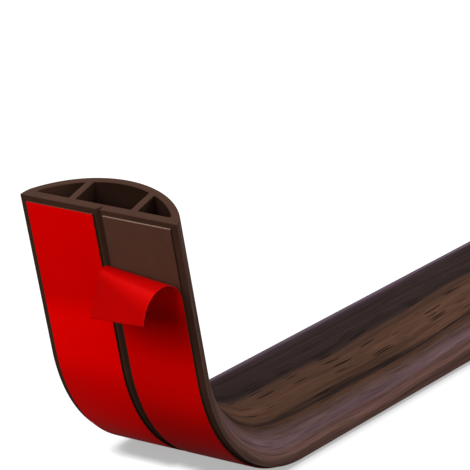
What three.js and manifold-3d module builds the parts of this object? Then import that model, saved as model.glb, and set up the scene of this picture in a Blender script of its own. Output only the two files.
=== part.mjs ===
// Floor cord cover: a flexible PVC strip with a domed top and three cable channels,
// two adhesive tapes on its flat underside and the red liners that protect them.
// The strip lies on its long run, its near end is bent up, and one liner is partly peeled.
// Millimetres, +Z up. The run points along +X, and left is +Y.
// The origin is the middle of the footprint, on the floor.

import * as THREE from 'three';
import { mergeVertices } from 'three/addons/utils/BufferGeometryUtils.js';
import Module from 'manifold-3d';

const wasm = await Module();
wasm.setup();

// Section of the strip, across (u) and up from the underside (v)
const width = 76;
const height = 23.2;
const lipHeight = 4.2;
const lipFlare = 1.1;
const baseWall = 4;
const crownWall = 3.3;
const webWall = 3.2;
const webOffset = 15;
const toeHeight = 1;
const grooveWidth = 2.4;
const grooveDepth = 2.3;
const grooveDraft = 0.3;
const crownSegments = 10;
const cutPast = 2;
const mergeDistance = 0.001;

// The way the strip lies, measured along its underside from the raised end
const length = 914;
const raisedLength = 75.4;
const bendAngle = THREE.MathUtils.degToRad(74.4);
const bendRadius = 77.6;
const bendSteps = 18;

// Tapes and their liners
const tapeThickness = 0.8;
const linerThickness = 0.2;
const seatGap = 0.05;
const tapeGap = 4.8;
const sideMargin = 3.3;
const endMargin = 2.4;

// The peeled liner rolls onto a cone whose tip lies inboard of the tape
const peelStart = 32.1;
const peelSlant = THREE.MathUtils.degToRad(13);
const rollTipInset = 21.8;
const rollHalfAngle = THREE.MathUtils.degToRad(13.2);
const rollTurn = THREE.MathUtils.degToRad(150.3);
const pullTab = 3.8;
const peelStep = 1.5;
const peelColumns = 12;

const bendEnd = raisedLength + bendRadius * bendAngle;
const tapeWidth = (width - tapeGap) / 2 - sideMargin;
const tapeMiddle = (tapeGap + tapeWidth) / 2;
const linerDepth = seatGap + tapeThickness + seatGap;

// A point of the straight strip, taken to where the bent strip has it
function bent(station, across, up) {
  const angle = THREE.MathUtils.clamp((bendEnd - station) / bendRadius, 0, bendAngle);
  const beyond = station < raisedLength ? raisedLength - station : Math.min(bendEnd - station, 0);
  const radius = bendRadius - up;
  return new THREE.Vector3(
    -radius * Math.sin(angle) - beyond * Math.cos(angle),
    across,
    bendRadius - radius * Math.cos(angle) + beyond * Math.sin(angle)
  );
}

// Stations where the strip has an edge across it: close together only in the bend
function stationsBetween(first, last) {
  const stations = [first];
  for (let step = 0; step <= bendSteps; step += 1) {
    stations.push(raisedLength + (bendEnd - raisedLength) * step / bendSteps);
  }
  stations.push(last);
  return stations;
}

// Moves every vertex of a geometry, whose x, y and z are given to the function place
function reshape(geometry, place) {
  const position = geometry.attributes.position;
  for (let i = 0; i < position.count; i += 1) {
    const moved = place(position.getX(i), position.getY(i), position.getZ(i));
    position.setXYZ(i, moved.x, moved.y, moved.z);
  }
  geometry.deleteAttribute('uv');
  geometry.computeVertexNormals();
  return geometry;
}

// The crown is an arc between the tops of the two side lips
const crownHalf = width / 2 - lipFlare;
const crownRise = height - lipHeight;
const crownRadius = (crownHalf ** 2 + crownRise ** 2) / (2 * crownRise);
const crownCentre = height - crownRadius;
const ceilingRadius = crownRadius - crownWall;

// Height of a channel's ceiling at a distance from the middle
function ceilingAt(across) {
  return crownCentre + Math.sqrt(ceilingRadius ** 2 - across ** 2);
}

function outerShape() {
  const half = width / 2;
  const grooveHalf = grooveWidth / 2;
  const lipAngle = Math.atan2(lipHeight - crownCentre, crownHalf);
  const shape = new THREE.Shape();
  shape.moveTo(-half, 0);
  shape.lineTo(-grooveHalf, 0);
  shape.lineTo(-grooveHalf + grooveDraft, grooveDepth);
  shape.lineTo(grooveHalf, 0);
  shape.lineTo(half, 0);
  shape.absarc(0, crownCentre, crownRadius, lipAngle, Math.PI - lipAngle, false);
  shape.lineTo(-half, 0);
  return shape;
}

// A channel: a flat floor from one side to the other, a wall up from each, and the ceiling's arc
function channelShape(from, to) {
  const shape = new THREE.Shape();
  const angleAt = (across) => Math.atan2(ceilingAt(across) - crownCentre, across);
  shape.moveTo(from, baseWall);
  shape.lineTo(to, baseWall);
  shape.absarc(0, crownCentre, ceilingRadius, angleAt(to), angleAt(from), false);
  shape.lineTo(from, baseWall);
  return shape;
}

// A shape of the section, drawn out along the bent strip
function drawnOut(shape, first, last) {
  const stations = stationsBetween(first, last);
  const straight = new THREE.ExtrudeGeometry(shape, {
    depth: stations.length - 1,
    steps: stations.length - 1,
    curveSegments: crownSegments,
    bevelEnabled: false
  });
  return reshape(straight, (x, y, z) => bent(stations[Math.round(z)], x, y));
}

function solidFrom(geometry) {
  const bare = new THREE.BufferGeometry().setAttribute('position', geometry.attributes.position);
  const merged = mergeVertices(bare, mergeDistance);
  return new wasm.Manifold(new wasm.Mesh({
    numProp: 3,
    vertProperties: merged.attributes.position.array,
    triVerts: new Uint32Array(merged.index.array)
  }));
}

function geometryFrom(solid) {
  const mesh = solid.getMesh();
  const geometry = new THREE.BufferGeometry();
  geometry.setAttribute('position', new THREE.BufferAttribute(mesh.vertProperties, 3));
  geometry.setIndex(new THREE.BufferAttribute(mesh.triVerts, 1));
  geometry.computeVertexNormals();
  return geometry;
}

// The domed strip with its three channels cut from end to end
function coverGeometry() {
  const webInner = webOffset - webWall / 2;
  const webOuter = webOffset + webWall / 2;
  const toe = Math.sqrt(ceilingRadius ** 2 - (baseWall + toeHeight - crownCentre) ** 2);
  let body = solidFrom(drawnOut(outerShape(), 0, length));
  for (const [from, to] of [[-toe, -webOuter], [-webInner, webInner], [webOuter, toe]]) {
    const channel = drawnOut(channelShape(from, to), -cutPast, length + cutPast);
    body = body.subtract(solidFrom(channel));
  }
  return geometryFrom(body);
}

// A flat layer under the base, on one side of the groove: its upper face is at the given depth
function layerGeometry(side, depth, thickness) {
  const stations = stationsBetween(endMargin, length - endMargin);
  const count = stations.length - 1;
  const layer = new THREE.BoxGeometry(tapeWidth, thickness, count, 1, 1, count);
  return reshape(layer, (x, y, z) => {
    const up = y - thickness / 2 - depth;
    return bent(stations[Math.round(z + count / 2)], side * tapeMiddle + x, up);
  });
}

// Where a point of the flat liner lies once its end is rolled back.
// In the peel frame, the cone's tip is the origin, along runs down the peel line to the outer edge,
// onward runs up the strip, and out points away from the underside.
function peeled(station, across, thicknessOut) {
  const along = new THREE.Vector3(-Math.cos(peelSlant), -Math.sin(peelSlant), 0);
  const onward = new THREE.Vector3(-Math.sin(peelSlant), Math.cos(peelSlant), 0);
  const out = new THREE.Vector3(0, 0, 1);
  const tipDistance = tapeWidth / 2 / Math.cos(peelSlant) + rollTipInset;
  const tip = new THREE.Vector3(-tapeMiddle, -peelStart, 0).addScaledVector(along, -tipDistance);
  const offset = new THREE.Vector3(across, -station, 0).sub(tip);
  const swing = Math.atan2(offset.dot(onward), offset.dot(along));
  if (swing <= 0) {
    return bent(station, across, -linerDepth - thicknessOut);
  }

  const reach = offset.length();
  const sine = Math.sin(rollHalfAngle);
  const cosine = Math.cos(rollHalfAngle);
  const turn = Math.min(swing / sine, rollTurn);
  const flat = swing - turn * sine;
  const axis = along.clone().multiplyScalar(cosine).addScaledVector(out, sine);
  const lift = out.clone().multiplyScalar(cosine).addScaledVector(along, -sine);
  const ruling = axis.multiplyScalar(cosine)
    .addScaledVector(lift, -sine * Math.cos(turn))
    .addScaledVector(onward, sine * Math.sin(turn));
  const tangent = lift.multiplyScalar(Math.sin(turn)).addScaledVector(onward, Math.cos(turn));
  const normal = new THREE.Vector3().crossVectors(tangent, ruling);
  const point = tip.addScaledVector(ruling, reach * Math.cos(flat))
    .addScaledVector(tangent, reach * Math.sin(flat))
    .addScaledVector(normal, thicknessOut);
  return bent(-point.y, point.x, -linerDepth - point.z);
}

function peeledLinerGeometry() {
  const stations = stationsBetween(endMargin - pullTab, length - endMargin);
  const peelEnd = peelStart + tapeWidth / 2 * Math.tan(peelSlant) + peelStep;
  const peelCount = Math.ceil((peelEnd - stations[0]) / peelStep);
  for (let step = 1; step <= peelCount; step += 1) {
    stations.splice(step, 0, stations[0] + (peelEnd - stations[0]) * step / peelCount);
  }
  const count = stations.length - 1;
  const sheet = new THREE.BoxGeometry(tapeWidth, linerThickness, count, peelColumns, 1, count);
  return reshape(sheet, (x, y, z) => {
    const thicknessOut = linerThickness / 2 - y;
    return peeled(stations[Math.round(z + count / 2)], x - tapeMiddle, thicknessOut);
  });
}

function piece(name, geometry, color, roughness) {
  const mesh = new THREE.Mesh(geometry, new THREE.MeshStandardMaterial({ color, roughness, metalness: 0 }));
  mesh.name = name;
  return mesh;
}

const left = 1;
const right = -1;
const cover = new THREE.Group();
cover.add(piece('cover_body', coverGeometry(), 0x4d382c, 0.5));
cover.add(piece('adhesive_tape_left', layerGeometry(left, seatGap, tapeThickness), 0x482d22, 0.7));
cover.add(piece('adhesive_tape_right', layerGeometry(right, seatGap, tapeThickness), 0x482d22, 0.7));
cover.add(piece('release_liner_left', layerGeometry(left, linerDepth, linerThickness), 0xc40000, 0.25));
cover.add(piece('release_liner_right', peeledLinerGeometry(), 0xc40000, 0.25));

// The floor is under the liners, and the origin is below the middle of the whole strip
const bounds = new THREE.Box3().setFromObject(cover);
const middle = bounds.getCenter(new THREE.Vector3());
cover.position.set(-middle.x, -middle.y, -bounds.min.z);

export default cover;
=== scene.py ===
import math

import bmesh
import bpy
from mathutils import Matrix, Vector


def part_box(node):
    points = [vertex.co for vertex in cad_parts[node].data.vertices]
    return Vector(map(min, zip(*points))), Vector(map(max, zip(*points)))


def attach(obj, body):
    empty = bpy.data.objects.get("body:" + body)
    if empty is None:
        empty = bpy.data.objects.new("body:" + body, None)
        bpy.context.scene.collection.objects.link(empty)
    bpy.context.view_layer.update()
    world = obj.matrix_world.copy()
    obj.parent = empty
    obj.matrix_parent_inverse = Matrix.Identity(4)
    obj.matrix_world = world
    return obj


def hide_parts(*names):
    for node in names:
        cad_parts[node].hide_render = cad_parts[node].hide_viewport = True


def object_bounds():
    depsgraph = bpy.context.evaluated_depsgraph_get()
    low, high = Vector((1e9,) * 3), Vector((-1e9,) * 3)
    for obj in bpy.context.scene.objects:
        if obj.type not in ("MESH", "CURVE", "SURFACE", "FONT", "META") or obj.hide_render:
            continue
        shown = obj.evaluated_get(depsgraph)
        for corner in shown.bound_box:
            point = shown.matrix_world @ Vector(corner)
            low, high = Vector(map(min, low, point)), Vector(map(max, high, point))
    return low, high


# Floor cord cover: a soft PVC strip with a walnut print, lying on its run with one end bent up.
# Metres, +Z up, +X along the run, and left is +Y, seen from the end that is bent up.

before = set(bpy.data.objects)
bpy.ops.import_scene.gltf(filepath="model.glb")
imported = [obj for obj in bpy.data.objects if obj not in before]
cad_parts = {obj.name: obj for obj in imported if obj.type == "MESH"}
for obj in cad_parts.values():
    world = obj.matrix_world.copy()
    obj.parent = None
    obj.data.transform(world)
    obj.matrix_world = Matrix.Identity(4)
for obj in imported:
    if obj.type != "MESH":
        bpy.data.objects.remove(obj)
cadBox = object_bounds()
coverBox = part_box("cover_body")
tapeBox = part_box("adhesive_tape_left")
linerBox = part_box("release_liner_left")

mm = 0.001
scene = bpy.context.scene


# The way the strip lies, with stations measured along its underside from the raised end
strip = {
    "length": 914 * mm,
    "width": coverBox[1].y - coverBox[0].y,
    "raisedLength": 75.4 * mm,
    "bendAngle": math.radians(74.4),
    "bendRadius": 77.6 * mm,
    "bendSteps": 48,
    "runStep": 41 * mm,  # cuts across the straight run, which keep its faces from being slivers
    "onPlane": 1e-7,  # a point as near as this to a cut lies on it
}
strip["bendEnd"] = strip["raisedLength"] + strip["bendRadius"] * strip["bendAngle"]
strip["runStart"] = coverBox[1].x - (strip["length"] - strip["bendEnd"])
strip["underside"] = coverBox[0].z

# Section of the cover, across (y) and up from the underside (z)
section = {
    "height": 23.2 * mm,
    "lipHeight": 4.2 * mm,
    "lipFlare": 1.1 * mm,
    "baseWall": 4 * mm,
    "crownWall": 3.3 * mm,
    "webWall": 3.2 * mm,
    "webOffset": 15 * mm,
    "toeHeight": 1 * mm,
    "grooveWidth": 2.4 * mm,
    "grooveDepth": 2.3 * mm,
    "grooveDraft": 0.3 * mm,
    "crownSteps": 56,
    "ceilingSteps": 20,
    # radius of each rounding, and its number of facets
    "lipRound": (1.6 * mm, 5),
    "cornerRound": (0.35 * mm, 3),
    "grooveRound": (0.175 * mm, 2),
    "channelRound": (0.45 * mm, 3),
    "cutChamfer": 0.18 * mm,
    # how far a face's middle may lie from a curved wall and still belong to it
    "channelReach": 0.1 * mm,
    "printReach": 0.3 * mm,
    "facing": 0.5,  # a face looks along an axis when its normal has more than this of it
    "sharpAngle": math.radians(32),
}
crownHalf = strip["width"] / 2 - section["lipFlare"]
crownRise = section["height"] - section["lipHeight"]
crownRadius = (crownHalf ** 2 + crownRise ** 2) / (2 * crownRise)
crownCentre = section["height"] - crownRadius
ceilingRadius = crownRadius - section["crownWall"]


def bentPlace(station, across, up):  # where the bent strip has a point of the straight one
    angle = min(max((strip["bendEnd"] - station) / strip["bendRadius"], 0), strip["bendAngle"])
    beyond = min(strip["bendEnd"] - station, 0)
    if station < strip["raisedLength"]:
        beyond = strip["raisedLength"] - station
    radius = strip["bendRadius"] - up
    x = -radius * math.sin(angle) - beyond * math.cos(angle)
    z = strip["bendRadius"] - radius * math.cos(angle) + beyond * math.sin(angle)
    return Vector((strip["runStart"] + x, across, strip["underside"] + z))


def cutAcross(bm, places, axis):  # new edges where planes square to an axis cut the strip
    normal = Vector((0, 0, 0))
    normal[axis] = 1
    for place in places:
        geometry = bm.verts[:] + bm.edges[:] + bm.faces[:]
        bmesh.ops.bisect_plane(bm, geom=geometry, dist=strip["onPlane"],
                               plane_co=normal * place, plane_no=normal)


def stripStations():  # where the strip is cut across: close together only in the bend
    bendLength = strip["bendRadius"] * strip["bendAngle"]
    runLength = strip["length"] - strip["bendEnd"]
    runCuts = int(runLength / strip["runStep"])
    stations = []
    for step in range(strip["bendSteps"] + 1):
        stations.append(strip["raisedLength"] + bendLength * step / strip["bendSteps"])
    for step in range(1, runCuts):
        stations.append(strip["bendEnd"] + runLength * step / runCuts)
    return stations


# Each point remembers its place on the straight strip, and the print's place on the dome
def keepPlaces(bm):
    place = bm.verts.layers.float_vector.new("stripPlace")
    printed = bm.verts.layers.float_vector.new("printPlace")
    for vert in bm.verts:
        vert[place] = vert.co
        girth = crownRadius * math.atan2(vert.co.y, vert.co.z - crownCentre)
        vert[printed] = (vert.co.x, girth, 0)


def finishMesh(bm, name, materials):
    mesh = bpy.data.meshes.new(name)
    bm.to_mesh(mesh)
    bm.free()
    for material in materials:
        mesh.materials.append(material)
    mesh.shade_smooth()
    mesh.set_sharp_from_angle(angle=section["sharpAngle"])
    piece = bpy.data.objects.new(name, mesh)
    scene.collection.objects.link(piece)
    return piece


# Materials

def linear(hexColour):  # an sRGB hex colour as the linear one that the shader takes
    parts = [int(hexColour[i:i + 2], 16) / 255 for i in (1, 3, 5)]
    values = [p / 12.92 if p <= 0.04045 else ((p + 0.055) / 1.055) ** 2.4 for p in parts]
    return (values[0], values[1], values[2], 1)


def addNode(tree, kind, settings, inputs):  # one node with its settings, its values and its links
    node = tree.nodes.new(kind)
    for name, value in settings.items():
        setattr(node, name, value)
    for name, value in inputs.items():
        if isinstance(value, bpy.types.NodeSocket):
            tree.links.new(value, node.inputs[name])
        else:
            node.inputs[name].default_value = value
    return node


def fromTo(source, goal):  # the limits that a Map Range node takes its value from and to
    return {"From Min": source[0], "From Max": source[1], "To Min": goal[0], "To Max": goal[1]}


def flatNoise(tree, vector, size, detail, roughness):  # noise drawn out to a length and a width
    stretched = addNode(tree, "ShaderNodeMapping", {"vector_type": "POINT"}, {
        "Vector": vector, "Scale": (1 / size[0], 1 / size[1], 1)})
    return addNode(tree, "ShaderNodeTexNoise", {"noise_dimensions": "2D"}, {
        "Vector": stretched.outputs["Vector"], "Scale": 1.0, "Detail": detail, "Roughness": roughness})


def fillRamp(ramp, stops):  # a ramp with these stops, each a share of its length and a hex colour
    ramp.interpolation = "EASE"
    ramp.elements.remove(ramp.elements[-1])
    ramp.elements[0].position = stops[0][0]
    ramp.elements[0].color = linear(stops[0][1])
    for share, hexColour in stops[1:]:
        ramp.elements.new(share).color = linear(hexColour)


def newMaterial(name):
    material = bpy.data.materials.new(name)
    material.use_nodes = True
    material.node_tree.nodes.clear()
    return material, material.node_tree


def finishMaterial(tree, shader):
    addNode(tree, "ShaderNodeOutputMaterial", {}, {"Surface": shader.outputs["BSDF"]})


# Noise seldom leaves these values: the wide pair is for streaks, and the narrow one for clouds
noiseWide = (0.3, 0.7)
noiseNarrow = (0.35, 0.65)


# Walnut print: a paper-thin gravure print under a clear satin coat on soft PVC.
# It gives long soft bands of brown and near black along the strip, short dark pores and a dull shine.
walnut = {
    "tones": {
        "lip": "#513a34",
        "violetPaintedSheen": "#645360",
        "rosePaintedSheen": "#5f443e",
        "lilacPaintedSheen": "#5f494d",
        "grey": "#533e3b",
        "vein": "#251a18",
        "pale": "#4e3529",
        "brown": "#473025",
        "dark": "#2b1e1d",
        "plum": "#322325",
    },
    # where each tone is strongest, in mm round the dome from its crown, left positive. The violet band
    # by the far crest and the rose and lilac bands on the near side are print with painted sheen
    "bands": [
        (-46, "lip"), (-42, "rosePaintedSheen"), (-37, "lilacPaintedSheen"), (-33, "grey"), (-29, "brown"), (-27, "vein"),
        (-24.5, "brown"), (-18, "pale"), (-11, "brown"), (-7.5, "vein"), (-4, "dark"), (6, "dark"),
        (12, "plum"), (19, "violetPaintedSheen"), (24, "violetPaintedSheen"), (28, "brown"), (31, "pale"), (36, "vein"),
        (39, "brown"), (42, "rosePaintedSheen"), (46, "lip"),
    ],
    "halfGirth": 47.5,  # mm from the crown to where the bands end
    # size of each noise, in mm along the strip and round the dome
    "driftSize": (230, 45),
    "figureSize": (95, 2.6),
    "fibreSize": (26, 0.45),
    "driftWidth": 16,  # mm, peak to peak of the noise, of which about a third shows
    "frayWidth": 7,  # mm, the same, for the bands' edges
    "figureSpan": (0.3, 0.72),
    "figureLight": (0.66, 1.3),  # its darkest and its lightest streaks
    "fibreLight": (0.76, 1.2),
    "poreCell": (27, 1.05),  # mm, the room that each pore has
    "poreless": 0.35,  # share of the cells without a pore
    "poreReach": 0.39,  # half the longest pore, as a share of its cell
    "poreEdge": 0.1,
    "poreMiddle": -16,  # mm of girth where the pores are darkest
    "poreSpread": 8,
    "poreLight": (0.2, 0.7),  # how light a pore is there, and from two spreads away
    "poreDepth": 0.05,  # mm, pressed in by the embossing roller
    "relief": 0.35,
    "roughness": (0.41, 0.5),
    "specular": 0.02,
    "ior": 1.5,
}


def walnutPrint():
    material, tree = newMaterial("Walnut print on soft PVC")
    place = addNode(tree, "ShaderNodeAttribute", {"attribute_name": "printPlace"}, {})
    inMm = addNode(tree, "ShaderNodeVectorMath", {"operation": "SCALE"}, {
        0: place.outputs["Vector"], "Scale": 1 / mm})
    # slow drift of the bands to one side and back
    drift = flatNoise(tree, inMm.outputs["Vector"], walnut["driftSize"], 3.0, 0.45)
    shift = addNode(tree, "ShaderNodeMath", {"operation": "MULTIPLY_ADD"}, {
        0: drift.outputs["Fac"], 1: walnut["driftWidth"], 2: -walnut["driftWidth"] / 2})
    shiftVector = addNode(tree, "ShaderNodeCombineXYZ", {}, {"Y": shift.outputs["Value"]})
    grain = addNode(tree, "ShaderNodeVectorMath", {"operation": "ADD"}, {
        0: inMm.outputs["Vector"], 1: shiftVector.outputs["Vector"]})
    # bands, with their edges frayed by the figure
    figure = flatNoise(tree, grain.outputs["Vector"], walnut["figureSize"], 5.0, 0.6)
    girth = addNode(tree, "ShaderNodeSeparateXYZ", {}, {"Vector": grain.outputs["Vector"]})
    frayed = addNode(tree, "ShaderNodeMath", {"operation": "MULTIPLY_ADD"}, {
        0: figure.outputs["Fac"], 1: walnut["frayWidth"], 2: girth.outputs["Y"]})
    half = walnut["halfGirth"]
    fray = walnut["frayWidth"] / 2
    share = addNode(tree, "ShaderNodeMapRange", {}, {
        "Value": frayed.outputs["Value"], **fromTo((fray - half, fray + half), (0, 1))})
    tones = addNode(tree, "ShaderNodeValToRGB", {}, {"Fac": share.outputs["Result"]})
    stops = [((spot + half) / (2 * half), walnut["tones"][tone]) for spot, tone in walnut["bands"]]
    fillRamp(tones.color_ramp, stops)
    # figure: lighter and darker streaks a few mm wide, with finer fibres in them
    streaks = addNode(tree, "ShaderNodeMapRange", {}, {
        "Value": figure.outputs["Fac"], **fromTo(walnut["figureSpan"], walnut["figureLight"])})
    fibre = flatNoise(tree, grain.outputs["Vector"], walnut["fibreSize"], 3.0, 0.6)
    fibres = addNode(tree, "ShaderNodeMapRange", {}, {
        "Value": fibre.outputs["Fac"], **fromTo(noiseWide, walnut["fibreLight"])})
    # pores: short dark dashes, one in most of the cells, darkest along one side of the dome
    poreCell = walnut["poreCell"]
    porePlace = addNode(tree, "ShaderNodeMapping", {"vector_type": "POINT"}, {
        "Vector": grain.outputs["Vector"], "Scale": (1 / poreCell[0], 1 / poreCell[1], 1)})
    cells = addNode(tree, "ShaderNodeTexVoronoi", {"voronoi_dimensions": "2D", "feature": "F1"}, {
        "Vector": porePlace.outputs["Vector"], "Scale": 1.0, "Randomness": 1.0})
    lots = addNode(tree, "ShaderNodeSeparateColor", {}, {"Color": cells.outputs["Color"]})
    poreSize = addNode(tree, "ShaderNodeMapRange", {}, {
        "Value": lots.outputs["Red"], **fromTo((walnut["poreless"], 1), (0, walnut["poreReach"]))})
    inside = addNode(tree, "ShaderNodeMath", {"operation": "SUBTRACT"}, {
        0: poreSize.outputs["Result"], 1: cells.outputs["Distance"]})
    fromPores = addNode(tree, "ShaderNodeMath", {"operation": "SUBTRACT"}, {
        0: girth.outputs["Y"], 1: walnut["poreMiddle"]})
    aside = addNode(tree, "ShaderNodeMath", {"operation": "ABSOLUTE"}, {0: fromPores.outputs["Value"]})
    spread = walnut["poreSpread"]
    deepest = addNode(tree, "ShaderNodeMapRange", {}, {
        "Value": aside.outputs["Value"], **fromTo((spread, 2 * spread), walnut["poreLight"])})
    pores = addNode(tree, "ShaderNodeMapRange", {}, {
        "Value": inside.outputs["Value"],
        **fromTo((0, walnut["poreEdge"]), (1, deepest.outputs["Result"]))})
    light = addNode(tree, "ShaderNodeMath", {"operation": "MULTIPLY"}, {
        0: streaks.outputs["Result"], 1: fibres.outputs["Result"]})
    ink = addNode(tree, "ShaderNodeMath", {"operation": "MULTIPLY"}, {
        0: light.outputs["Value"], 1: pores.outputs["Result"]})
    colour = addNode(tree, "ShaderNodeVectorMath", {"operation": "SCALE"}, {
        0: tones.outputs["Color"], "Scale": ink.outputs["Value"]})
    rough = addNode(tree, "ShaderNodeMapRange", {}, {
        "Value": fibre.outputs["Fac"], **fromTo(noiseWide, walnut["roughness"])})
    relief = addNode(tree, "ShaderNodeBump", {}, {
        "Strength": walnut["relief"], "Distance": walnut["poreDepth"] * mm,
        "Height": ink.outputs["Value"]})
    shader = addNode(tree, "ShaderNodeBsdfPrincipled", {}, {
        "Base Color": colour.outputs["Vector"], "Roughness": rough.outputs["Result"],
        "IOR": walnut["ior"], "Specular IOR Level": walnut["specular"],
        "Normal": relief.outputs["Normal"]})
    finishMaterial(tree, shader)
    return material


# Extruded soft PVC, coloured through: brown, with faint die lines along it.
# The die leaves it a little shiny. The channel walls get a darker brown, which is painted shade.
pvc = {
    "colour": "#402a20",
    "colourWorn": "#452e24",
    "colourInPaintedShade": "#2c1c15",
    "colourWornInPaintedShade": "#30201a",
    # painted light: the left channel's wall pales between these distances from the middle
    "paintedLightFrom": 19 * mm,
    "paintedLightTo": 29 * mm,
    "paintedLightPaler": 1.9,
    "roughness": (0.45, 0.56),
    "specular": 0.03,
    "ior": 1.53,
    "cloudSize": 14,  # mm
    "dieLineSpacing": 0.7,
    "dieLineLength": 160,
    "dieLineDepth": 0.04,
    "relief": 0.4,
}


def plainPvc(name, colour, colourWorn, paintedLightFactor=1.0):
    material, tree = newMaterial(name)
    place = addNode(tree, "ShaderNodeAttribute", {"attribute_name": "stripPlace"}, {})
    lineScale = 1 / (pvc["dieLineSpacing"] * mm)
    lines = addNode(tree, "ShaderNodeMapping", {"vector_type": "POINT"}, {
        "Vector": place.outputs["Vector"],
        "Scale": (1 / (pvc["dieLineLength"] * mm), lineScale, lineScale)})
    dieLines = addNode(tree, "ShaderNodeTexNoise", {"noise_dimensions": "3D"}, {
        "Vector": lines.outputs["Vector"], "Scale": 1.0, "Detail": 2.0, "Roughness": 0.5})
    clouds = addNode(tree, "ShaderNodeTexNoise", {"noise_dimensions": "3D"}, {
        "Vector": place.outputs["Vector"], "Scale": 1 / (pvc["cloudSize"] * mm),
        "Detail": 4.0, "Roughness": 0.55})
    mix = addNode(tree, "ShaderNodeMapRange", {}, {
        "Value": clouds.outputs["Fac"], **fromTo(noiseNarrow, (0, 1))})
    brown = addNode(tree, "ShaderNodeMix", {"data_type": "RGBA"}, {  # 6 and 7 are its two colours
        0: mix.outputs["Result"], 6: linear(colour), 7: linear(colourWorn)})
    across = addNode(tree, "ShaderNodeSeparateXYZ", {}, {"Vector": place.outputs["Vector"]})
    # painted light: the channel wall pales towards the left channel's outer end
    thin = addNode(tree, "ShaderNodeMapRange", {"interpolation_type": "SMOOTHSTEP"}, {
        "Value": across.outputs["Y"], **fromTo((pvc["paintedLightFrom"], pvc["paintedLightTo"]), (1, paintedLightFactor))})
    tint = addNode(tree, "ShaderNodeVectorMath", {"operation": "SCALE"}, {
        0: brown.outputs[2], "Scale": thin.outputs["Result"]})
    rough = addNode(tree, "ShaderNodeMapRange", {}, {
        "Value": dieLines.outputs["Fac"], **fromTo(noiseWide, pvc["roughness"])})
    relief = addNode(tree, "ShaderNodeBump", {}, {
        "Strength": pvc["relief"], "Distance": pvc["dieLineDepth"] * mm,
        "Height": dieLines.outputs["Fac"]})
    shader = addNode(tree, "ShaderNodeBsdfPrincipled", {}, {
        "Base Color": tint.outputs["Vector"], "Roughness": rough.outputs["Result"],
        "IOR": pvc["ior"], "Specular IOR Level": pvc["specular"], "Normal": relief.outputs["Normal"]})
    finishMaterial(tree, shader)
    return material


# Acrylic adhesive on brown foam: smooth, tacky and a little mottled where it wetted the film
adhesive = {
    "colour": "#4f3126",
    "colourDry": "#523428",
    "roughness": 0.55,
    "specular": 0.1,
    "ior": 1.47,
    "mottleSize": 9,  # mm
    "peelSize": 1.6,
    "peelDepth": 0.05,
    "relief": 0.25,
    "foam": "#8f7464",
    "foamRoughness": 0.75,
    "bubbleSize": 0.25,
    "bubbleReach": 0.8,
    "bubbleLight": (0.8, 1.05),
}


def adhesiveFace():
    material, tree = newMaterial("Acrylic adhesive, brown")
    place = addNode(tree, "ShaderNodeAttribute", {"attribute_name": "stripPlace"}, {})
    mottle = addNode(tree, "ShaderNodeTexNoise", {"noise_dimensions": "3D"}, {
        "Vector": place.outputs["Vector"], "Scale": 1 / (adhesive["mottleSize"] * mm),
        "Detail": 5.0, "Roughness": 0.6})
    mix = addNode(tree, "ShaderNodeMapRange", {}, {
        "Value": mottle.outputs["Fac"], **fromTo(noiseNarrow, (0, 1))})
    colour = addNode(tree, "ShaderNodeMix", {"data_type": "RGBA"}, {
        0: mix.outputs["Result"], 6: linear(adhesive["colour"]), 7: linear(adhesive["colourDry"])})
    peel = addNode(tree, "ShaderNodeTexNoise", {"noise_dimensions": "3D"}, {
        "Vector": place.outputs["Vector"], "Scale": 1 / (adhesive["peelSize"] * mm),
        "Detail": 2.0, "Roughness": 0.5})
    relief = addNode(tree, "ShaderNodeBump", {}, {
        "Strength": adhesive["relief"], "Distance": adhesive["peelDepth"] * mm,
        "Height": peel.outputs["Fac"]})
    shader = addNode(tree, "ShaderNodeBsdfPrincipled", {}, {
        "Base Color": colour.outputs[2], "Roughness": adhesive["roughness"], "IOR": adhesive["ior"],
        "Specular IOR Level": adhesive["specular"], "Normal": relief.outputs["Normal"]})
    finishMaterial(tree, shader)
    return material


def foamEdge():
    material, tree = newMaterial("Tape foam, cut edge")
    place = addNode(tree, "ShaderNodeAttribute", {"attribute_name": "stripPlace"}, {})
    bubbles = addNode(tree, "ShaderNodeTexVoronoi", {"voronoi_dimensions": "3D"}, {
        "Vector": place.outputs["Vector"], "Scale": 1 / (adhesive["bubbleSize"] * mm)})
    shade = addNode(tree, "ShaderNodeMapRange", {}, {
        "Value": bubbles.outputs["Distance"],
        **fromTo((0, adhesive["bubbleReach"]), adhesive["bubbleLight"])})
    foamColour = addNode(tree, "ShaderNodeVectorMath", {"operation": "SCALE"}, {
        0: linear(adhesive["foam"])[:3], "Scale": shade.outputs["Result"]})
    shader = addNode(tree, "ShaderNodeBsdfPrincipled", {}, {
        "Base Color": foamColour.outputs["Vector"], "Roughness": adhesive["foamRoughness"],
        "IOR": adhesive["ior"]})
    finishMaterial(tree, shader)
    return material


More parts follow.
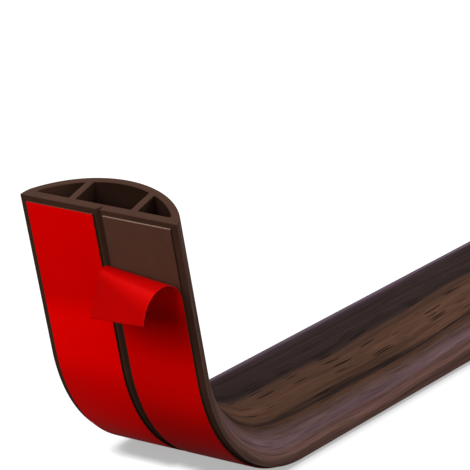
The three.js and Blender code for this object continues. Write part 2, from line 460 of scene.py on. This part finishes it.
# Release liner: red polyethylene film, cast on a polished roll, so it is glossy with slow waves.
# Its gloss is red, because flakes in the film throw the light back, most of all on the siliconed side.
liner = {
    # the lighter and darker reds are painted light and shade on the film
    "reds": {
        "light": "#ff0000",
        "warm": "#f00000",
        "plain": "#e00000",
        "deep": "#c60000",
        # a darker red than the outside, which paints shade onto the rolled-back flap
        "siliconed": "#be0303",
    },
    # where each red is strongest, in mm along the strip: painted light and shade, such as a painted
    # highlight before the bend on the left film and painted shade below the rolled end on the right
    "leftBands": [
        (0, "plain"), (42, "plain"), (58, "light"), (72, "light"), (90, "warm"), (120, "light")],
    "rightBands": [(28, "light"), (50, "deep"), (72, "plain"), (84, "plain"), (106, "deep")],
    "siliconedBands": [(0, "siliconed")],
    "bandLength": 130,
    "gloss": "#ff1010",
    "roughness": (0.3, 0.38),
    "ior": 1.2,  # low for polyethylene: the waves scatter most of the grazing shine
    "specular": 0.12,
    "siliconedSpecular": 0.15,
    "siliconedFlakes": 0.2,
    "waveLength": 34,  # mm
    "waveHeight": 0.2,
    "waveLight": (0.96, 1.0),
    "relief": 0.2,
    "edge": "#c41c18",
    "edgeRoughness": 0.45,
    "edgeSpecular": 0.2,
}


def linerFilm(name, filmBands, specular, flakes=0.0):
    material, tree = newMaterial(name)
    place = addNode(tree, "ShaderNodeAttribute", {"attribute_name": "stripPlace"}, {})
    waves = addNode(tree, "ShaderNodeTexNoise", {"noise_dimensions": "3D"}, {
        "Vector": place.outputs["Vector"], "Scale": 1 / (liner["waveLength"] * mm),
        "Detail": 1.0, "Roughness": 0.4})
    along = addNode(tree, "ShaderNodeSeparateXYZ", {}, {"Vector": place.outputs["Vector"]})
    share = addNode(tree, "ShaderNodeMath", {"operation": "DIVIDE"}, {
        0: along.outputs["X"], 1: liner["bandLength"] * mm})
    reds = addNode(tree, "ShaderNodeValToRGB", {}, {"Fac": share.outputs["Value"]})
    stops = [(station / liner["bandLength"], liner["reds"][red]) for station, red in filmBands]
    fillRamp(reds.color_ramp, stops)
    thin = addNode(tree, "ShaderNodeMapRange", {}, {
        "Value": waves.outputs["Fac"], **fromTo(noiseNarrow, liner["waveLight"])})
    tint = addNode(tree, "ShaderNodeVectorMath", {"operation": "SCALE"}, {
        0: reds.outputs["Color"], "Scale": thin.outputs["Result"]})
    rough = addNode(tree, "ShaderNodeMapRange", {}, {
        "Value": waves.outputs["Fac"], **fromTo(noiseWide, liner["roughness"])})
    relief = addNode(tree, "ShaderNodeBump", {}, {
        "Strength": liner["relief"], "Distance": liner["waveHeight"] * mm,
        "Height": waves.outputs["Fac"]})
    shader = addNode(tree, "ShaderNodeBsdfPrincipled", {}, {
        "Base Color": tint.outputs["Vector"], "Roughness": rough.outputs["Result"],
        "IOR": liner["ior"], "Specular IOR Level": specular, "Specular Tint": linear(liner["gloss"]),
        "Metallic": flakes, "Normal": relief.outputs["Normal"]})
    finishMaterial(tree, shader)
    return material


def linerEdge():
    material, tree = newMaterial("Release film, slit edge")
    shader = addNode(tree, "ShaderNodeBsdfPrincipled", {}, {
        "Base Color": linear(liner["edge"]), "Roughness": liner["edgeRoughness"], "IOR": liner["ior"],
        "Specular IOR Level": liner["edgeSpecular"]})
    finishMaterial(tree, shader)
    return material


walnutMaterial = walnutPrint()
pvcMaterial = plainPvc("Extruded soft PVC, brown", pvc["colour"], pvc["colourWorn"])
# the channel walls: a darker brown for painted shade, paler towards the left channel's outer end for
# painted light
channelPaintedShadeAndLightMaterial = plainPvc("Extruded soft PVC, channel wall, painted shade and light", pvc["colourInPaintedShade"],
                           pvc["colourWornInPaintedShade"], pvc["paintedLightPaler"])
adhesiveMaterial = adhesiveFace()
foamMaterial = foamEdge()
filmMaterials = {}
for sideName in ("left", "right"):
    filmMaterials[sideName] = linerFilm("Release film, red polyethylene, " + sideName + " roll",
                                        liner[sideName + "Bands"], liner["specular"])
siliconedMaterial = linerFilm("Release film, siliconed side", liner["siliconedBands"],
                              liner["siliconedSpecular"], liner["siliconedFlakes"])
filmEdgeMaterial = linerEdge()
print("materials made")


# The cover itself: its section is drawn, filled, drawn out, cut across and bent

def arcBetween(bm, radius, start, end, steps):  # a wire round the crown's centre, angles from +Y
    first = bm.verts.new((0, radius * math.cos(start), crownCentre + radius * math.sin(start)))
    spun = bmesh.ops.spin(bm, geom=[first], cent=(0, 0, crownCentre), axis=(1, 0, 0),
                          angle=end - start, steps=steps, use_merge=False)
    last = [item for item in spun["geom_last"] if isinstance(item, bmesh.types.BMVert)][0]
    return first, last


def closeWire(bm, last, corners, first):  # joins an arc's last point to its first through corners
    verts = [bm.verts.new((0, across, up)) for across, up in corners]
    chain = [last] + verts + [first]
    for a, b in zip(chain, chain[1:]):
        bm.edges.new((a, b))
    return verts


def roundCorners(bm, verts, rounding):
    bmesh.ops.bevel(bm, geom=verts, offset=rounding[0], offset_type="OFFSET", segments=rounding[1],
                    profile=0.5, affect="VERTICES", material=-1)


def drawSection(bm):
    half = strip["width"] / 2
    grooveHalf = section["grooveWidth"] / 2
    lipAngle = math.atan2(section["lipHeight"] - crownCentre, crownHalf)
    lips = arcBetween(bm, crownRadius, lipAngle, math.pi - lipAngle, section["crownSteps"])
    corners = closeWire(bm, lips[1], [
        (-half, 0), (-grooveHalf, 0), (-grooveHalf + section["grooveDraft"], section["grooveDepth"]),
        (grooveHalf, 0), (half, 0)], lips[0])
    channelCorners = []
    floor = section["baseWall"]
    webInner = section["webOffset"] - section["webWall"] / 2
    webOuter = section["webOffset"] + section["webWall"] / 2
    toe = math.sqrt(ceilingRadius ** 2 - (floor + section["toeHeight"] - crownCentre) ** 2)
    for low, high in [(-toe, -webOuter), (-webInner, webInner), (webOuter, toe)]:
        ends = arcBetween(bm, ceilingRadius, math.acos(high / ceilingRadius),
                          math.acos(low / ceilingRadius), section["ceilingSteps"])
        channelCorners += list(ends) + closeWire(bm, ends[1], [(low, floor), (high, floor)], ends[0])
    roundCorners(bm, list(lips), section["lipRound"])
    roundCorners(bm, [corners[0], corners[4]], section["cornerRound"])
    roundCorners(bm, [corners[1], corners[3]], section["grooveRound"])
    roundCorners(bm, channelCorners, section["channelRound"])


# 0 is plain PVC, 1 the print over the dome and both lips, and 2 a channel's wall, whose darker brown is
# painted shade
def coverFinish(face):
    centre = face.calc_center_median()
    radius = math.hypot(centre.y, centre.z - crownCentre)
    if abs(face.normal.x) > section["facing"]:
        return 0
    reach = section["channelReach"]
    if radius < ceilingRadius + reach and centre.z > section["baseWall"] - reach:
        return 2
    if face.normal.z < -section["facing"]:
        return 0
    reach = section["printReach"]
    return 1 if radius > crownRadius - reach or abs(centre.y) > crownHalf - reach else 0


def makeCover():
    bm = bmesh.new()
    drawSection(bm)
    bmesh.ops.triangle_fill(bm, use_beauty=True, use_dissolve=False, edges=bm.edges[:],
                            normal=(-1, 0, 0))
    chamfer = section["cutChamfer"]
    bmesh.ops.translate(bm, verts=bm.verts[:], vec=(chamfer, 0, 0))
    drawn = bmesh.ops.extrude_face_region(bm, geom=bm.faces[:])
    moved = [item for item in drawn["geom"] if isinstance(item, bmesh.types.BMVert)]
    bmesh.ops.translate(bm, verts=moved, vec=(strip["length"] - 2 * chamfer, 0, 0))
    bmesh.ops.recalc_face_normals(bm, faces=bm.faces[:])
    for outward in (-1, 1):  # both saw cuts have their edges taken off
        cap = [face for face in bm.faces if face.normal.x * outward > section["facing"]]
        bmesh.ops.inset_region(bm, faces=cap, thickness=chamfer, depth=chamfer, use_even_offset=True)
    cutAcross(bm, stripStations(), 0)
    bm.normal_update()
    for face in bm.faces:
        face.material_index = coverFinish(face)
    keepPlaces(bm)
    for vert in bm.verts:
        vert.co = bentPlace(*vert.co)
    return finishMesh(bm, "cordCover", [pvcMaterial, walnutMaterial, channelPaintedShadeAndLightMaterial])


cover = makeCover()
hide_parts("cover_body")
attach(cover, "root")
print("cover made")


# Tapes and liners, from the frame: each is a flat band under one half of the base
bands = {
    "middle": (tapeBox[0].y + tapeBox[1].y) / 2,
    "width": tapeBox[1].y - tapeBox[0].y,
    "endMargin": strip["runStart"] + strip["length"] - strip["bendEnd"] - tapeBox[1].x,
    "tapeTop": 0.05 * mm,
    "tapeThickness": 0.8 * mm,
    "linerThickness": 0.2 * mm,
    "tapeRound": 0.1 * mm,
    "filmRound": 0.04 * mm,
    "roundSteps": 2,
    "facing": 0.7,  # as for the cover, and such that a rounded edge is shared by its two sides
}
bands["linerDepth"] = strip["underside"] - linerBox[0].z - bands["linerThickness"]

# The peeled end rolls onto a cone whose tip lies inboard of the tape
roll = {
    "start": 32.1 * mm,
    "slant": math.radians(13),
    "tipInset": 21.8 * mm,
    "halfAngle": math.radians(13.2),
    "turn": math.radians(150.3),
    "pullTab": 3.8 * mm,
    "step": 0.75 * mm,
    "columns": 24,
}


# Where a point of the flat liner lies once its end is rolled back.
# Along runs down the peel line to the outer edge, onward up the strip, and out away from it.
def peeledPlace(station, across, thicknessOut):
    along = Vector((-math.cos(roll["slant"]), -math.sin(roll["slant"]), 0))
    onward = Vector((-math.sin(roll["slant"]), math.cos(roll["slant"]), 0))
    out = Vector((0, 0, 1))
    tipDistance = bands["width"] / 2 / math.cos(roll["slant"]) + roll["tipInset"]
    tip = Vector((-bands["middle"], -roll["start"], 0)) - along * tipDistance
    offset = Vector((across, -station, 0)) - tip
    swing = math.atan2(offset.dot(onward), offset.dot(along))
    if swing <= 0:
        return bentPlace(station, across, -bands["linerDepth"] - thicknessOut)
    reach = offset.length
    sine = math.sin(roll["halfAngle"])
    cosine = math.cos(roll["halfAngle"])
    turn = min(swing / sine, roll["turn"])
    flat = swing - turn * sine
    axis = along * cosine + out * sine
    lift = out * cosine - along * sine
    ruling = axis * cosine - lift * sine * math.cos(turn) + onward * sine * math.sin(turn)
    tangent = lift * math.sin(turn) + onward * math.cos(turn)
    normal = tangent.cross(ruling)
    point = tip + ruling * reach * math.cos(flat) + tangent * reach * math.sin(flat)
    point += normal * thicknessOut
    return bentPlace(-point.y, point.x, -bands["linerDepth"] - point.z)


def bareTapeFinish(face):  # the cut ends show the foam
    return 1 if abs(face.normal.x) > bands["facing"] else 0


def paintedShadeTapeFinish(face):  # the ends of a tape under the film get the dark adhesive instead of the foam: painted shade
    return 0


def filmFinish(face):  # the film's outside, its slit edge and its side to the tape
    if abs(face.normal.z) < bands["facing"]:
        return 1
    return 0 if face.normal.z < 0 else 2


def makeBand(name, side, depth, thickness, rounding, materials, finishOf, peel=False):
    bm = bmesh.new()
    bmesh.ops.create_cube(bm, size=1)
    first = bands["endMargin"] - (roll["pullTab"] if peel else 0)
    last = strip["length"] - bands["endMargin"]
    bmesh.ops.scale(bm, verts=bm.verts[:], vec=(last - first, bands["width"], thickness))
    middle = ((first + last) / 2, side * bands["middle"], -depth - thickness / 2)
    bmesh.ops.translate(bm, verts=bm.verts[:], vec=middle)
    bmesh.ops.bevel(bm, geom=bm.edges[:], offset=rounding, offset_type="OFFSET",
                    segments=bands["roundSteps"], profile=0.5, affect="EDGES", material=-1)
    stations = stripStations()
    if peel:
        peelEnd = roll["start"] + bands["width"] / 2 * math.tan(roll["slant"]) + roll["step"]
        steps = math.ceil((peelEnd - first) / roll["step"])
        stations += [first + (peelEnd - first) * step / steps for step in range(1, steps + 1)]
        edge = side * bands["middle"] - bands["width"] / 2
        columns = roll["columns"]
        cutAcross(bm, [edge + bands["width"] * step / columns for step in range(1, columns)], 1)
    cutAcross(bm, stations, 0)
    bm.normal_update()
    for face in bm.faces:
        face.material_index = finishOf(face)
    keepPlaces(bm)
    for vert in bm.verts:
        if peel:
            vert.co = peeledPlace(vert.co.x, vert.co.y, -depth - vert.co.z)
        else:
            vert.co = bentPlace(*vert.co)
    return finishMesh(bm, name, materials)


left = 1
right = -1
for sideName, side in (("left", left), ("right", right)):
    tape = makeBand("adhesiveTape_" + sideName, side, bands["tapeTop"], bands["tapeThickness"],
                    bands["tapeRound"], [adhesiveMaterial, foamMaterial],
                    bareTapeFinish if side == right else paintedShadeTapeFinish)
    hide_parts("adhesive_tape_" + sideName)
    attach(tape, "root")
    film = makeBand("releaseLiner_" + sideName, side, bands["linerDepth"], bands["linerThickness"],
                    bands["filmRound"], [filmMaterials[sideName], filmEdgeMaterial, siliconedMaterial],
                    filmFinish, peel=side == right)
    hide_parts("release_liner_" + sideName)
    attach(film, "root")
print("tapes and liners made")


# A studio: a wide soft box overhead in a dim room, and a light beside it, in front and at the side
studio = {
    "floorSize": 12,
    "floorGap": 0.05 * mm,
    "floorColour": "#585858",
    "floorRoughness": 0.9,
    "floorSpecular": 0.1,
    "floorGlow": 1.0,
    # painted contact shadow in the floor's glow, where something stands near: how near, how dark, and
    # the share of open sky above a point of the floor at which the shade is full and at which it ends
    "contactReach": 9 * mm,
    "contactShade": 0.42,
    "contactSpan": (0.5, 0.97),
    "contactSamples": 16,
    # light from straight above and from the sides, and the heights where the soft box starts and is full
    "skyAbove": 1.15,
    "skyBelow": 0.08,
    "skySpan": (0.15, 0.75),
    "lightSize": 1.2,
    # place and power of each
    "lights": {
        "keyLight": ((-0.44, 1.19, 2.16), 9),
        "frontLight": ((-2.4, 0.22, 1.05), 29),
        "sideLight": ((0.23, -2.03, 0.76), 22),
    },
}


def makeFloor():
    bm = bmesh.new()
    bmesh.ops.create_grid(bm, x_segments=1, y_segments=1, size=studio["floorSize"] / 2)
    bmesh.ops.translate(bm, verts=bm.verts[:], vec=(0, 0, cadBox[0][2] - studio["floorGap"]))
    material, tree = newMaterial("Glowing floor with painted contact shadow")
    # the floor glows evenly, and an Ambient Occlusion node dims the glow near the strip: a painted
    # contact shadow
    near = addNode(tree, "ShaderNodeAmbientOcclusion", {"samples": studio["contactSamples"]}, {
        "Distance": studio["contactReach"]})
    glow = addNode(tree, "ShaderNodeMapRange", {}, {
        "Value": near.outputs["AO"],
        **fromTo(studio["contactSpan"], (studio["contactShade"], studio["floorGlow"]))})
    shader = addNode(tree, "ShaderNodeBsdfPrincipled", {}, {
        "Base Color": linear(studio["floorColour"]), "Roughness": studio["floorRoughness"],
        "Specular IOR Level": studio["floorSpecular"],
        "Emission Color": (1, 1, 1, 1), "Emission Strength": glow.outputs["Result"]})
    finishMaterial(tree, shader)
    floor = finishMesh(bm, "floor", [material])
    floor.visible_diffuse = False  # white as it is, it throws no light up onto the underside
    floor.visible_glossy = False


def makeLight(name, place, power):
    light = bpy.data.lights.new(name, "AREA")
    light.shape = "SQUARE"
    light.size = studio["lightSize"]
    light.energy = power
    lamp = bpy.data.objects.new(name, light)
    lamp.location = place
    aim = Vector(view["target"]) - Vector(place)
    lamp.rotation_euler = aim.to_track_quat("-Z", "Y").to_euler()
    scene.collection.objects.link(lamp)


def makeSky():
    world = bpy.data.worlds.new("studio")
    world.use_nodes = True
    world.node_tree.nodes.clear()
    tree = world.node_tree
    ray = addNode(tree, "ShaderNodeTexCoord", {}, {})
    height = addNode(tree, "ShaderNodeSeparateXYZ", {}, {"Vector": ray.outputs["Generated"]})
    strength = addNode(tree, "ShaderNodeMapRange", {"interpolation_type": "SMOOTHSTEP"}, {
        "Value": height.outputs["Z"],
        **fromTo(studio["skySpan"], (studio["skyBelow"], studio["skyAbove"]))})
    light = addNode(tree, "ShaderNodeBackground", {}, {
        "Color": (1, 1, 1, 1), "Strength": strength.outputs["Result"]})
    addNode(tree, "ShaderNodeOutputWorld", {}, {"Surface": light.outputs["Background"]})
    scene.world = world


# The camera stands where the photograph was taken from
view = {
    "target": (strip["runStart"] - 3.26 * mm, -6.15 * mm, strip["underside"] + 94.7 * mm),
    "azimuth": math.radians(-57.305),
    "elevation": math.radians(17.905),
    "distance": 1593 * mm,
    "lens": 291.2,
    "sensor": 36,
}


def makeCamera():
    flat = math.cos(view["elevation"])
    back = Vector((math.sin(view["azimuth"]) * flat, -math.cos(view["azimuth"]) * flat,
                   math.sin(view["elevation"])))
    data = bpy.data.cameras.new("camera")
    data.sensor_width = view["sensor"]
    data.lens = view["lens"]
    camera = bpy.data.objects.new("camera", data)
    camera.location = Vector(view["target"]) + back * view["distance"]
    camera.rotation_euler = (-back).to_track_quat("-Z", "Y").to_euler()
    scene.collection.objects.link(camera)
    scene.camera = camera


makeFloor()
for lightName, (place, power) in studio["lights"].items():
    makeLight(lightName, place, power)
makeSky()
makeCamera()
scene.view_settings.view_transform = "Standard"
print("studio made")
